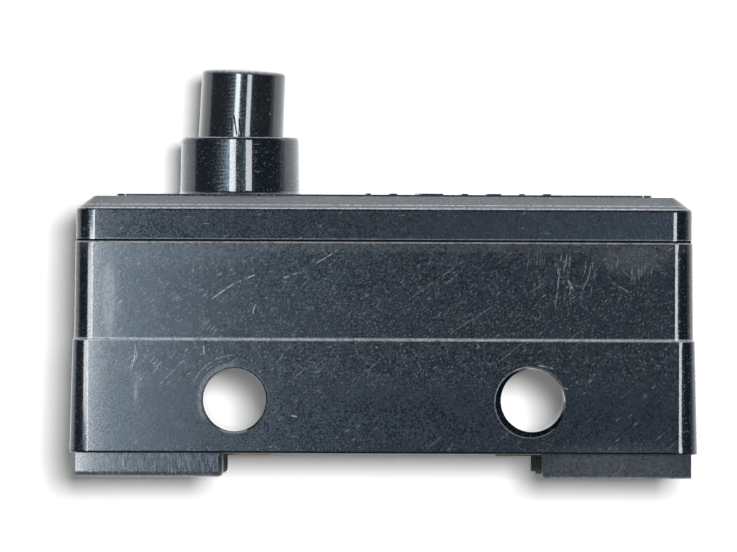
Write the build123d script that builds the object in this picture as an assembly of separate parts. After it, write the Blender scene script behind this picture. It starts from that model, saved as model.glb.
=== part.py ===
from build123d import *
import os
from math import atan, cos, degrees, pi, radians, sin, tan

# Snap-action pushbutton switch in a moulded case, in millimetres.
# +X runs along the case, -Y is the front, +Z points up the button.
# The origin is under the middle of the case, on the plane that its feet stand on.

# Case, outside
foot_height = 2.0
base_length = 52.3            # at the ledge; the draft makes it longer below
base_width = 17.7
base_height = 9.6
base_draft = 1.5
middle_length = 52.1          # at the ledge; the draft makes it shorter above
middle_width = 17.4
middle_height = 8.2
middle_draft = 0.6
case_corner_r = 1.6
case_edge_r = 0.15

# Mounting holes, front to back through the base
hole_pitch = 25.0
hole_r = 2.65
hole_height = 6.5
hole_mouth_break = 0.15
worn_mouth_r = 2.95           # the right-hand hole is worn to a slanted funnel at the front
worn_mouth_depth = 0.8
worn_mouth_shift = 0.2        # of the funnel's mouth, to the left and downwards

# Feet: a front and a rear barrier wall at each end, with the wire channel between
foot_wall = 1.9
foot_inset = 0.55
foot_end_inset = 0.54
left_foot_length = 12.4
right_foot_length = 12.5
left_rear_extra = 0.15        # how much further the rear walls reach inwards
right_rear_extra = 0.65
rear_leaf = 0.6               # the right rear wall ends in a leaf of this thickness
rear_leaf_reach = 0.38
rear_leaf_lift = 0.2          # of the leaf's lower edge, off the plane that the feet stand on
left_foot_corner_r = 0.45
right_foot_corner_r = 0.3
foot_upright_r = 0.5          # on the inner end of the left front wall

# Chamber for the mechanism, open at the top of the case
chamber_length = 47.0
chamber_width = 12.6
chamber_corner_r = 1.0
chamber_floor = 10.8
post_x = 20.6
post_y = 4.4
post_r = 1.9
post_drop = 1.2               # from the top of the case to the top of a post

# Cover
cover_length = 51.8
cover_width = 17.0
cover_corner_r = 1.6
cover_side = 2.7
cover_chamfer_in = 1.5
cover_chamfer_up = 1.1
cover_top_corner_r = 0.4
cover_top_wall = 1.6
cover_shoulder_r = 0.3
cover_edge_r = 0.12
seam_gap = 0.15
seam_depth = 0.7
rim_wall = 1.2
rim_depth = 1.1
rim_clearance = 0.1
pad_length = 45.1
pad_width = 12.4
pad_height = 0.18
pad_corner_r = 0.8

# Collar moulded on the cover, and the button's guide bore in it
plunger_x = -12.25
bore_offset = 0.07            # of the bore from the middle of the collar's mouth, towards +X
lean = 2.4                    # degrees; the bore and all that slides in it lean towards +X
collar_r = 5.08
collar_draft = 1.0
collar_height = 5.05
collar_edge_r = 0.3
collar_foot_r = 0.3
boss_r = 6.2
boss_drop = 2.5               # below the top of the case

# Button
button_r = 3.6
button_draft = 0.55
button_stand = 5.85           # above the collar, with the button free
button_dome = 0.3
button_edge_r = 0.3
button_bore_r = 2.2
button_crown = 3.0
button_fit = 0.07
flange_r = 4.4
flange_fit = 0.1
flange_thickness = 1.2
flange_under_top = 0.5        # from the cover's top face down to the flange's stop
button_travel = 2.4
stop_gap = 0.1                # left over the guide when the button is right down

# Pin, its retaining ring and its guide
pin_head_r = 2.1
pin_head_height = 1.0
pin_shaft_r = 1.3
pin_stem_r = 1.0
pin_fit = 0.06
ring_thickness = 0.5
ring_bite = 0.3
ring_bore_r = 1.45
ring_above_mouth = 0.25
ring_slit = 70
ring_play = 0.02
guide_lip_r = 5.6
guide_lip = 0.5
guide_chamfer = 0.2
guide_edge_r = 0.15
guide_clearance = 0.02

# Overtravel spring inside the button
spring_r = 1.65
spring_wire = 0.45
spring_turns = 6

# Snap blade and contacts
blade_height = 14.2           # underside of the blade
blade_thickness = 0.35
blade_width = 8.4
blade_leg = 1.6
blade_shoulder = 1.0          # from the root's width to the full width, along X
blade_nose = 2.0              # from the window to where the tip narrows
blade_window_r = 0.8
blade_root_width = 4.4
blade_root_end = -21.4
blade_window_start = -10.3
blade_window_end = 12.0
blade_tip = 18.2
blade_tip_width = 5.0
tongue_width = 3.4
tongue_end = -6.95
tongue_rise = 1.4
contact_x = 16.0
contact_gap = 1.0
contact_touch = 0.02          # between closed contacts, and between the pin and the blade
contact_r = 2.0
contact_head = 0.78
contact_dome = 0.25
contact_shank_r = 1.0
contact_tail_r = 1.5
contact_tail = 0.35
contact_edge_r = 0.15

# Strip parts: terminals, contact arms and the blade's anchor
strip = 0.8
strip_width = 4.0
strip_bend_r = 0.3
plate_width = 6.0
plate_proud = 0.25            # how far the end plates stand below the base
leg_inset = 1.5               # from the chamber's ends to the middle of the end terminals' legs
end_plate_x = 9.5             # where the end terminals' plates stop
middle_leg_x = 5.4
middle_plate_end = -5.0
middle_plate_height = 4.0     # underside of the middle plate
arm_flange_height = 2.4
anchor_edge_x = -18.2         # the blade rocks on this edge
anchor_post_x = -7.4
anchor_post_width = 2.8
anchor_post_over = 0.45       # above the blade's top face
anchor_neck = 2.0             # how far below the blade the post narrows
pocket_length = 12.0
pocket_width = 9.2
pocket_corner_r = 1.0
slot_clearance = 0.05
rivet_x = -19.5
rivet_r = 0.6
rivet_head_r = 1.05
rivet_head = 0.35
rivet_play = 0.08

# Terminal screws and their toothed lock washers
screw_x = 18.2
screw_r = 1.5
screw_length = 4.2
screw_head_r = 2.9
screw_head = 1.2
screw_slot = 0.7
screw_slot_depth = 0.6
screw_head_edge_r = 0.35
screw_point = 0.3
screw_hole_r = 1.75
screw_hole_depth = 3.0
washer_thickness = 0.4
washer_r = 2.75
washer_bore_r = 1.6
washer_teeth = 10

# Cover screws and the cover's moulded pegs
cover_screw_r = 0.95
cover_screw_head_r = 1.6
cover_screw_length = 9.0
cover_screw_slot = 0.4
cover_screw_slot_depth = 0.4
left_cover_screw_turn = 25    # degrees, of the slots as the screws are left
right_cover_screw_turn = -50
cover_hole_r = 1.1
peg_r = 1.0
peg_length = 2.0
peg_clearance = 0.05

# Margins that leave no mark on the solids
over = 1.0                    # how far a cut is carried past the face that it opens
sunk = 0.5                    # how far a joined piece reaches into the one that carries it

# Worked out from the sizes above
base_bottom = foot_height
ledge = base_bottom + base_height
case_top = ledge + middle_height
cover_shoulder = case_top + cover_side
cover_top = cover_shoulder + cover_chamfer_up
pad_top = cover_top + pad_height
collar_top = cover_top + collar_height
button_top = collar_top + button_stand
base_spread = base_height * tan(radians(base_draft))
bottom_length = base_length + 2 * base_spread
bottom_width = base_width + 2 * base_spread
foot_face = bottom_width / 2 - foot_inset
foot_end = bottom_length / 2 - foot_end_inset
post_top = case_top - post_drop
flange_stop = cover_top - flange_under_top
flange_bore_r = flange_r + flange_fit
flange_top = flange_stop - contact_touch
flange_bottom = flange_top - flange_thickness
guide_top = flange_bottom - button_travel - stop_gap
ring_bottom = flange_bottom + ring_above_mouth
ring_top = ring_bottom + ring_thickness
pin_head_bottom = ring_top + ring_play
pin_head_top = pin_head_bottom + pin_head_height
spring_top = button_top - button_crown
blade_top = blade_height + blade_thickness
leg_x = chamber_length / 2 - leg_inset
bore_x = plunger_x + bore_offset
pin_tip_x = bore_x - (collar_top - blade_top) * tan(radians(lean))
lever_pin = pin_tip_x - anchor_edge_x
lever_contact = contact_x - anchor_edge_x
blade_turn = contact_gap / lever_contact
pin_travel = blade_turn * lever_pin
pin_shoulder = guide_top + pin_travel + contact_touch
pin_drop = (collar_top - blade_top - contact_touch - pin_stem_r) / cos(radians(lean))
pin_tip_centre = collar_top - pin_drop
nc_face = blade_top + contact_head + contact_touch
nc_arm_bottom = nc_face + contact_head
no_face = blade_height - contact_head - contact_gap - contact_touch
no_arm_top = no_face - contact_head
end_plate_bottom = base_bottom - plate_proud

# The button's axis: it passes through the bore's middle in the collar's mouth and leans there
plunger_axis = Pos(bore_x, 0, collar_top) * Rot(0, lean, 0) * Pos(0, 0, -collar_top)


def spanned(low, high):
    """Middle and length of a span between two faces."""
    return (low + high) / 2, high - low


def prism(x_span, y_span, z_span, corner_r=0.0):
    """Straight block between three pairs of faces, with its upright corners rounded."""
    x, length = spanned(*x_span)
    y, width = spanned(*y_span)
    outline = RectangleRounded(length, width, corner_r) if corner_r else Rectangle(length, width)
    return extrude(Pos(x, y, z_span[0]) * outline, z_span[1] - z_span[0])


def drafted(length, width, corner_r, z, height, draft):
    """Rounded slab standing on z that narrows upwards by its draft."""
    return extrude(Pos(0, 0, z) * RectangleRounded(length, width, corner_r), height, taper=draft)


def rod(r, z_low, z_high):
    """Upright round rod on the frame's own axis."""
    return extrude(Pos(0, 0, z_low) * Circle(r), z_high - z_low)


def cross_circle(x, z, r, y):
    """Disc that faces backwards."""
    return Plane(origin=(x, y, z), x_dir=(1, 0, 0), z_dir=(0, 1, 0)) * Circle(r)


def cross_hole(x, z, r, y_low, y_high):
    """Round hole or rod that runs front to back."""
    return extrude(cross_circle(x, z, r, y_low), y_high - y_low)


def turned(points):
    """Body of revolution about the frame's own upright axis, from an (r, z) outline."""
    outline = Plane.XZ * make_face(Polyline(*points, close=True))
    return revolve(outline, Axis.Z)


def folded(points, thickness, width):
    """Strip folded along a path in the XZ plane, with rounded bends, centred on y = 0."""
    path = FilletPolyline(*points, radius=strip_bend_r + thickness / 2)
    wire = Plane.XZ * path
    section = Plane(origin=wire @ 0, z_dir=wire % 0, x_dir=(0, 1, 0)) * Rectangle(width, thickness)
    return sweep(section, path=wire)


def edges_at(part, z, tolerance=0.01):
    """Edges of a part that lie wholly at one height."""
    return [e for e in part.edges() if abs(e.bounding_box().min.Z - z) < tolerance
            and abs(e.bounding_box().max.Z - z) < tolerance]


def barrier_wall(side, y_low, reach, corner_r):
    """One wall under an end, with the lower corner of its inner end rounded."""
    outer = side * foot_end
    span = sorted((outer, outer - side * reach))
    wall = prism(span, (y_low, y_low + foot_wall), (0, base_bottom))
    inner = -1 if side < 0 else 0
    if side < 0 and y_low < 0:
        wall = fillet(wall.edges().filter_by(Axis.Z).group_by(Axis.X)[inner], foot_upright_r)
    return fillet(wall.edges().filter_by(Axis.Y).group_by(Axis.Z)[0].sort_by(Axis.X)[inner], corner_r)


def foot_row(side, length, rear_extra, corner_r):
    """The front and the rear wall under one end; side is -1 at the left and 1 at the right."""
    front = barrier_wall(side, -foot_face, length, corner_r)
    rear = barrier_wall(side, foot_face - foot_wall, length + rear_extra, corner_r)
    return front, rear


def leaf_step():
    """What the right rear wall lacks beside and under the leaf at its inner end."""
    inner = foot_end - right_foot_length - right_rear_extra
    span = (inner - over, inner + rear_leaf_reach)
    beside = prism(span, (foot_face - foot_wall - over, foot_face - rear_leaf), (-over, base_bottom))
    return beside + prism(span, (foot_face - rear_leaf - over, foot_face + over), (-over, rear_leaf_lift))


def make_housing():
    """Lower half of the case: drafted base, ledge, chamber, posts, holes and terminal seats."""
    base = drafted(bottom_length, bottom_width, case_corner_r, base_bottom, base_height, base_draft)
    base = fillet(edges_at(base, ledge) + edges_at(base, base_bottom), case_edge_r)
    middle = drafted(middle_length, middle_width, case_corner_r, ledge - over, middle_height + over,
                     middle_draft)
    middle = fillet(edges_at(middle, case_top), case_edge_r)
    body = base + middle
    front, rear = foot_row(-1, left_foot_length, left_rear_extra, left_foot_corner_r)
    body += front + rear
    front, rear = foot_row(1, right_foot_length, right_rear_extra, right_foot_corner_r)
    body += front + (rear - leaf_step())
    chamber = prism((-chamber_length / 2, chamber_length / 2), (-chamber_width / 2, chamber_width / 2),
                    (chamber_floor, case_top + over), chamber_corner_r)
    for x in (-post_x, post_x):
        for y in (-post_y, post_y):
            side = 1 if y > 0 else -1
            web = prism((x - post_r, x + post_r), sorted((y, side * (chamber_width / 2 + over))),
                        (chamber_floor - over, post_top))
            chamber -= Pos(x, y, 0) * rod(post_r, chamber_floor - over, post_top) + web
    body -= chamber
    for x, y, r, depth in post_holes():
        body -= Pos(x, y, 0) * rod(r, post_top - depth, post_top + over)
    for x in (-hole_pitch / 2, hole_pitch / 2):
        body -= mounting_hole(x)
    return body - worn_mouth() - terminal_seats()


def base_half_width(z):
    """Half the base's width at a height, on its drafted faces."""
    return base_width / 2 + (ledge - z) * tan(radians(base_draft))


def mounting_hole(x):
    """Through hole with its two mouths broken by a small cone."""
    half = base_half_width(hole_height)
    hole = cross_hole(x, hole_height, hole_r, -base_width, base_width)
    for side in (-1, 1):
        cone = Cone(hole_r, hole_r + 2 * hole_mouth_break, 2 * hole_mouth_break)
        hole += Pos(x, side * half, hole_height) * Rot(-90 * side, 0, 0) * cone
    return hole


def worn_mouth():
    """Slanted funnel at the right-hand hole's front mouth, carried on a little past the face."""
    carry = 1.5
    inner_y = worn_mouth_depth - base_half_width(hole_height)
    shift = carry * worn_mouth_shift
    inner = cross_circle(hole_pitch / 2, hole_height, hole_r, inner_y)
    outer = cross_circle(hole_pitch / 2 - shift, hole_height - shift,
                         hole_r + carry * (worn_mouth_r - hole_r), inner_y - carry * worn_mouth_depth)
    return loft([outer.face(), inner.face()], ruled=True)


def post_holes():
    """Blind holes in the four posts: two for the cover's screws and two for its pegs."""
    screw_depth = cover_screw_length - (pad_top - post_top) + slot_clearance
    peg_depth = peg_length + slot_clearance
    return [
        (-post_x, post_y, cover_screw_r, screw_depth),
        (post_x, -post_y, cover_screw_r, screw_depth),
        (-post_x, -post_y, peg_r + peg_clearance, peg_depth),
        (post_x, post_y, peg_r + peg_clearance, peg_depth),
    ]


def leg_slot(x, plate_end, plate_bottom):
    """Slot for a terminal's leg through the chamber's floor, eased where the strip bends."""
    half = strip / 2 + slot_clearance
    reach = strip_width / 2 + slot_clearance
    slot = prism((x - half, x + half), (-reach, reach), (0, chamber_floor + over))
    bend = x + half + strip_bend_r if plate_end > x else x - half - strip_bend_r
    return slot + prism(sorted((x, bend)), (-reach, reach), (0, plate_bottom + strip + strip_bend_r))


def plate_seat(x_span, z):
    """Recess for a terminal's plate, from below up to the plate's upper face."""
    reach = plate_width / 2 + slot_clearance
    span = (x_span[0] - slot_clearance, x_span[1] + slot_clearance)
    return prism(span, (-reach, reach), (0, z + strip))


def terminal_seats():
    """All that is cut under the base and through the floor for the three terminals."""
    cut = leg_slot(-leg_x, -end_plate_x, end_plate_bottom)
    cut += leg_slot(leg_x, end_plate_x, end_plate_bottom)
    cut += leg_slot(middle_leg_x, middle_plate_end, middle_plate_height)
    cut += plate_seat((-leg_x - strip / 2, -end_plate_x), end_plate_bottom)
    cut += plate_seat((end_plate_x, leg_x + strip / 2), end_plate_bottom)
    cut += plate_seat((middle_plate_end, middle_leg_x + strip / 2), middle_plate_height)
    centre = (middle_plate_end + middle_leg_x + strip / 2) / 2
    cut += prism((centre - pocket_length / 2, centre + pocket_length / 2),
                 (-pocket_width / 2, pocket_width / 2), (0, middle_plate_height), pocket_corner_r)
    for x, z in terminal_screw_places():
        top = z + strip + screw_hole_depth
        cut += Pos(x, 0, 0) * rod(screw_hole_r, z, top)
    return cut


def terminal_screw_places():
    """Axis and plate underside of each terminal's screw."""
    return [(-screw_x, end_plate_bottom), (0, middle_plate_height), (screw_x, end_plate_bottom)]


def make_cover():
    """Upper half of the case: chamfered shell, rim, collar, guide boss, pegs and screw bosses."""
    shell = prism((-cover_length / 2, cover_length / 2), (-cover_width / 2, cover_width / 2),
                  (case_top, cover_shoulder), cover_corner_r)
    lower = Pos(0, 0, cover_shoulder) * RectangleRounded(cover_length, cover_width, cover_corner_r)
    upper = Pos(0, 0, cover_top) * RectangleRounded(
        cover_length - 2 * cover_chamfer_in, cover_width - 2 * cover_chamfer_in, cover_top_corner_r)
    shell += loft([lower.face(), upper.face()], ruled=True)
    shell = fillet(edges_at(shell, cover_shoulder), cover_shoulder_r)
    shell = fillet(edges_at(shell, cover_top), cover_edge_r)
    gap = (case_top, case_top + seam_gap)
    ring = prism((-cover_length, cover_length), (-cover_width, cover_width), gap)
    ring -= prism((-cover_length / 2 + seam_depth, cover_length / 2 - seam_depth),
                  (-cover_width / 2 + seam_depth, cover_width / 2 - seam_depth), gap,
                  cover_corner_r - seam_depth)
    shell -= ring
    shell += prism((-pad_length / 2, pad_length / 2), (-pad_width / 2, pad_width / 2),
                   (cover_top - sunk, pad_top), pad_corner_r)
    ceiling = cover_top - cover_top_wall
    shell -= prism((-chamber_length / 2, chamber_length / 2), (-chamber_width / 2, chamber_width / 2),
                   (case_top - over, ceiling), chamber_corner_r)
    shell += cover_rim(ceiling)
    for x in (-post_x, post_x):
        for y in (-post_y, post_y):
            shell += Pos(x, y, 0) * rod(post_r, post_top + contact_touch, ceiling + sunk)
    for x, y in ((-post_x, -post_y), (post_x, post_y)):
        shell += Pos(x, y, 0) * rod(peg_r, post_top - peg_length, ceiling)
    shell += plunger_axis * rod(boss_r, case_top - boss_drop, ceiling + sunk)
    shell += Pos(plunger_x, 0, 0) * collar()
    foot = [e for e in edges_at(shell, pad_top) if e.geom_type == GeomType.CIRCLE and e.radius > button_r]
    shell = fillet(foot, collar_foot_r)
    shell -= plunger_axis * rod(flange_bore_r, case_top - boss_drop - over, flange_stop)
    shell -= plunger_axis * rod(button_r + button_fit, flange_stop - over, collar_top + over)
    for x, y in ((-post_x, post_y), (post_x, -post_y)):
        shell -= Pos(x, y, 0) * (rod(cover_hole_r, post_top - over, pad_top) + countersink())
    return shell


def cover_rim(ceiling):
    """Locating rim under the cover, which drops into the chamber's mouth."""
    reach_x = chamber_length / 2 - rim_clearance
    reach_y = chamber_width / 2 - rim_clearance
    spans = (case_top - rim_depth, ceiling + sunk)
    rim = prism((-reach_x, reach_x), (-reach_y, reach_y), (spans[0], case_top), chamber_corner_r)
    rim += prism((-chamber_length / 2, chamber_length / 2), (-chamber_width / 2, chamber_width / 2),
                 (case_top, spans[1]), chamber_corner_r)
    hollow = prism((-reach_x + rim_wall, reach_x - rim_wall), (-reach_y + rim_wall, reach_y - rim_wall),
                   (spans[0] - over, spans[1] + over), chamber_corner_r / 2)
    return rim - hollow


def collar():
    """Round drafted collar with a rounded mouth edge."""
    top_r = collar_r - collar_height * tan(radians(collar_draft))
    body = turned([(0, cover_top - sunk), (collar_r, cover_top - sunk), (collar_r, cover_top),
                   (top_r, collar_top), (0, collar_top)])
    return fillet(edges_at(body, collar_top), collar_edge_r)


def countersink():
    """Cone for a cover screw's head, with its wide end at the pad's top face."""
    depth = cover_screw_head_r - cover_screw_r
    return turned([(0, pad_top - depth - sunk), (cover_screw_r, pad_top - depth),
                   (cover_screw_head_r, pad_top), (cover_screw_head_r, pad_top + over), (0, pad_top + over)])


def make_button():
    """Hollow button with its stop flange, drafted and domed above the collar."""
    straight = collar_top
    top_r = button_r - button_stand * tan(radians(button_draft))
    rise = (top_r ** 2 + button_dome ** 2) / (2 * button_dome)
    edge = button_top - button_dome
    side = Polyline((0, flange_bottom), (flange_r, flange_bottom), (flange_r, flange_top),
                    (button_r, flange_top), (button_r, straight), (top_r, edge))
    dome = RadiusArc((top_r, edge), (0, button_top), -rise)
    outline = Plane.XZ * make_face(side + dome + Line((0, button_top), (0, flange_bottom)))
    body = revolve(outline, Axis.Z)
    body = fillet(edges_at(body, edge), button_edge_r)
    body -= rod(button_bore_r, flange_bottom - over, spring_top)
    body -= rod(button_bore_r + ring_bite, ring_bottom, ring_top)
    return plunger_axis * body


def make_retaining_ring():
    """Open snap ring in the button's groove, which holds the pin's head."""
    body = rod(button_bore_r + ring_bite, ring_bottom, ring_top)
    body -= rod(ring_bore_r, ring_bottom - over, ring_top + over)
    reach = 2 * button_bore_r
    edge = (reach * cos(radians(ring_slit / 2)), reach * sin(radians(ring_slit / 2)))
    wedge = make_face(Polyline((0, 0), edge, (edge[0], -edge[1]), close=True))
    return plunger_axis * (body - extrude(Pos(0, 0, ring_bottom) * wedge, ring_thickness))


def make_overtravel_spring():
    """Compression spring between the pin's head and the button's crown."""
    low = pin_head_top + spring_wire / 2
    high = spring_top - spring_wire / 2
    path = Pos(0, 0, low) * Helix((high - low) / spring_turns, high - low, spring_r)
    section = Plane(origin=path @ 0, z_dir=path % 0) * Circle(spring_wire / 2)
    return plunger_axis * sweep(section, path=path, is_frenet=True)


def make_actuating_pin():
    """Stepped pin: head in the button, shaft through the ring, stem through the guide."""
    body = rod(pin_head_r, pin_head_bottom, pin_head_top)
    body += rod(pin_shaft_r, pin_shoulder, pin_head_bottom)
    body += rod(pin_stem_r, pin_tip_centre, pin_shoulder)
    body += Pos(0, 0, pin_tip_centre) * Sphere(pin_stem_r)
    return plunger_axis * body


def make_plunger_guide():
    """Top-hat bush pressed into the cover's boss, bored for the pin's stem."""
    neck_r = flange_bore_r - guide_clearance
    boss_end = case_top - boss_drop
    body = rod(neck_r, boss_end, guide_top) + rod(guide_lip_r, boss_end - guide_lip, boss_end)
    body = chamfer(edges_at(body, guide_top), guide_chamfer)
    body = fillet(edges_at(body, boss_end - guide_lip), guide_edge_r)
    body -= rod(pin_stem_r + pin_fit, boss_end - guide_lip - over, guide_top + over)
    return plunger_axis * body


def make_snap_blade():
    """Sprung blade: root on the anchor, two long legs, and a bowed tongue between them."""
    half = blade_width / 2
    root = blade_root_width / 2
    tip = blade_tip_width / 2
    outline = Polyline(
        (blade_root_end, -root), (anchor_edge_x, -root), (anchor_edge_x + blade_shoulder, -half),
        (blade_window_end + blade_nose, -half), (blade_tip, -tip), (blade_tip, tip),
        (blade_window_end + blade_nose, half), (anchor_edge_x + blade_shoulder, half), (anchor_edge_x, root),
        (blade_root_end, root), close=True)
    x, length = spanned(blade_window_start, blade_window_end)
    window = Pos(x, 0, 0) * RectangleRounded(length, blade_width - 2 * blade_leg, blade_window_r)
    sheet = Pos(0, 0, blade_height) * (make_face(outline) - window)
    blade = extrude(sheet, blade_thickness)
    blade += tongue()
    blade -= Pos(rivet_x, 0, 0) * rod(rivet_r, blade_height - over, blade_top + over)
    blade -= Pos(contact_x, 0, 0) * rod(contact_shank_r, blade_height - over, blade_top + over)
    return blade


def tongue():
    """Bowed middle strip, rooted at the window's contact end, with its tip by the anchor's post."""
    start = blade_window_end + blade_thickness
    middle = (tongue_end + start) / 2
    low = ThreePointArc((tongue_end, blade_height), (middle, blade_height + tongue_rise),
                        (start, blade_height))
    high = ThreePointArc((start, blade_top), (middle, blade_top + tongue_rise), (tongue_end, blade_top))
    side = low + Line((start, blade_height), (start, blade_top)) + high
    side += Line((tongue_end, blade_top), (tongue_end, blade_height))
    return extrude(Plane.XZ.offset(-tongue_width / 2) * make_face(side), tongue_width)


def make_moving_contact():
    """Double-headed contact riveted through the blade's tip, domed above and below."""
    upper = contact_button(contact_dome)
    lower = Rot(180, 0, 0) * upper
    body = Pos(0, 0, blade_top) * upper + Pos(0, 0, blade_height) * lower
    body += rod(contact_shank_r, blade_height - sunk, blade_top + sunk)
    return Pos(contact_x, 0, 0) * body


def contact_button(dome):
    """Round contact head on z = 0 whose face is domed."""
    edge = contact_head - dome
    radius = (contact_r ** 2 + dome ** 2) / (2 * dome)
    side = Polyline((0, 0), (contact_r, 0), (contact_r, edge))
    top = RadiusArc((contact_r, edge), (0, contact_head), -radius)
    return revolve(Plane.XZ * make_face(side + top + Line((0, contact_head), (0, 0))), Axis.Z)


def fixed_contact(face, seat, tail_end):
    """Flat-faced contact rivet: head from its face to the arm, shank, and upset tail."""
    head = rod(contact_r, min(face, seat), max(face, seat))
    head = fillet(edges_at(head, face), contact_edge_r)
    shank = rod(contact_shank_r, min(seat, tail_end), max(seat, tail_end))
    return head + shank


def make_nc_contact():
    """Upper fixed contact, closed while the button is free."""
    arm_top = nc_arm_bottom + strip
    body = fixed_contact(nc_face, nc_arm_bottom, arm_top + contact_tail)
    body += rod(contact_tail_r, arm_top, arm_top + contact_tail)
    return Pos(contact_x, 0, 0) * body


def make_no_contact():
    """Lower fixed contact, closed when the button is down; its tail is flush in the arm."""
    return Pos(contact_x, 0, 0) * fixed_contact(no_face, no_arm_top, no_arm_top - strip)


def make_nc_arm():
    """Folded arm that carries the upper contact from the right-hand terminal's leg."""
    flange_x = leg_x - strip
    middle = nc_arm_bottom + strip / 2
    body = folded([(flange_x, middle - arm_flange_height), (flange_x, middle),
                   (contact_x - contact_r, middle)], strip, strip_width)
    return body - Pos(contact_x, 0, 0) * rod(contact_shank_r, middle - over, middle + over)


def make_no_arm():
    """Folded arm that carries the lower contact from the middle terminal's leg."""
    flange_x = middle_leg_x + strip
    middle = no_arm_top - strip / 2
    body = folded([(flange_x, middle + arm_flange_height), (flange_x, middle),
                   (contact_x + contact_r, middle)], strip, strip_width)
    return body - Pos(contact_x, 0, 0) * rod(contact_shank_r, middle - over, middle + over)


def make_blade_anchor():
    """Folded seat for the blade: top flange, upright, deck on the floor and the tongue's post."""
    upright_x = -leg_x + strip
    flange_z = blade_height - strip / 2
    deck_z = chamber_floor + strip / 2
    half = strip / 2
    post_end = (anchor_post_x, blade_top + anchor_post_over)
    body = folded([(anchor_edge_x, flange_z), (upright_x, flange_z), (upright_x, deck_z),
                   (anchor_post_x, deck_z), post_end], strip, strip_width)
    side = (strip_width - anchor_post_width) / 2
    for y in (-strip_width / 2, strip_width / 2 - side):
        body -= prism((anchor_post_x - 3 * half, anchor_post_x + 3 * half), (y, y + side),
                      (blade_height - anchor_neck, blade_top + over))
    return body - Pos(rivet_x, 0, 0) * rod(rivet_r + rivet_play, flange_z - over, flange_z + over)


def make_anchor_rivet():
    """Rivet that holds the blade's root down on the anchor and lets it rock."""
    under = blade_height - strip - rivet_play
    body = rod(rivet_r, under - rivet_head, blade_top + rivet_head)
    body += rod(rivet_head_r, blade_top, blade_top + rivet_head)
    body += rod(rivet_head_r, under - rivet_head, under)
    return Pos(rivet_x, 0, 0) * body


def terminal(leg, plate_end, plate_bottom, leg_top, screw_at):
    """L-shaped terminal: leg up through the case, and a tapped plate under the base."""
    mid = plate_bottom + strip / 2
    side = 1 if plate_end > leg else -1
    body = folded([(leg, leg_top), (leg, mid), (plate_end, mid)], strip, strip_width)
    start = leg + side * (strip / 2 + strip_bend_r)
    body += prism(sorted((start, plate_end)), (-plate_width / 2, plate_width / 2),
                  (plate_bottom, plate_bottom + strip))
    return body - Pos(screw_at, 0, 0) * rod(screw_r, plate_bottom - over, plate_bottom + strip + over)


def make_com_terminal():
    """Common terminal at the left, joined to the blade's anchor."""
    return terminal(-leg_x, -end_plate_x, end_plate_bottom, blade_height - strip, -screw_x)


def make_nc_terminal():
    """Right-hand terminal, joined to the upper contact's arm."""
    return terminal(leg_x, end_plate_x, end_plate_bottom, nc_arm_bottom, screw_x)


def make_no_terminal():
    """Middle terminal in its pocket, joined to the lower contact's arm."""
    leg_top = no_arm_top + arm_flange_height - strip
    return terminal(middle_leg_x, middle_plate_end, middle_plate_height, leg_top, 0)


def make_terminal_screws():
    """The three terminal screws, heads down."""
    screws = []
    for x, plate_bottom in terminal_screw_places():
        seat = plate_bottom - washer_thickness
        head = rod(screw_head_r, seat - screw_head, seat)
        head = fillet(edges_at(head, seat - screw_head), screw_head_edge_r)
        slot = prism((-screw_head_r - over, screw_head_r + over), (-screw_slot / 2, screw_slot / 2),
                     (seat - screw_head - over, seat - screw_head + screw_slot_depth))
        shank = chamfer(edges_at(rod(screw_r, seat, seat + screw_length), seat + screw_length), screw_point)
        screws.append(Pos(x, 0, 0) * (head - slot + shank))
    return Compound(children=screws)


def make_lock_washers():
    """The three external-tooth lock washers under the screws' heads."""
    root_r = (washer_r + washer_bore_r) / 2
    tooth_width = pi * washer_r / washer_teeth
    tooth = Pos(washer_r / 2, 0, 0) * Rectangle(washer_r, tooth_width)
    outline = Circle(root_r)
    for index in range(washer_teeth):
        outline += Rot(0, 0, index * 360 / washer_teeth) * tooth
    ring = extrude(outline - Circle(washer_bore_r), washer_thickness)
    return Compound(children=[Pos(x, 0, z - washer_thickness) * ring for x, z in terminal_screw_places()])


def make_cover_screws():
    """The two slotted countersunk screws that hold the cover, at opposite corners."""
    depth = cover_screw_head_r - cover_screw_r
    body = turned([(0, pad_top - cover_screw_length), (cover_screw_r, pad_top - cover_screw_length),
                   (cover_screw_r, pad_top - depth), (cover_screw_head_r, pad_top), (0, pad_top)])
    body -= prism((-cover_screw_head_r, cover_screw_head_r), (-cover_screw_slot / 2, cover_screw_slot / 2),
                  (pad_top - cover_screw_slot_depth, pad_top))
    places = ((-post_x, post_y, left_cover_screw_turn), (post_x, -post_y, right_cover_screw_turn))
    return Compound(children=[Pos(x, y, 0) * Rot(0, 0, turn) * body for x, y, turn in places])


parts = {
    "housing": make_housing,
    "cover": make_cover,
    "button": make_button,
    "retaining_ring": make_retaining_ring,
    "overtravel_spring": make_overtravel_spring,
    "actuating_pin": make_actuating_pin,
    "plunger_guide": make_plunger_guide,
    "snap_blade": make_snap_blade,
    "moving_contact": make_moving_contact,
    "anchor_rivet": make_anchor_rivet,
    "blade_anchor": make_blade_anchor,
    "nc_arm": make_nc_arm,
    "nc_contact": make_nc_contact,
    "no_arm": make_no_arm,
    "no_contact": make_no_contact,
    "com_terminal": make_com_terminal,
    "nc_terminal": make_nc_terminal,
    "no_terminal": make_no_terminal,
    "terminal_screws": make_terminal_screws,
    "lock_washers": make_lock_washers,
    "cover_screws": make_cover_screws,
}

os.makedirs("parts", exist_ok=True)
for name, make in parts.items():
    export_step(make(), f"parts/{name}.step")
print("button travel", round(button_travel, 3), "mm; pin travel", round(pin_travel, 4),
      "mm; blade turn", round(degrees(atan(blade_turn)), 3), "degrees")
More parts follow.
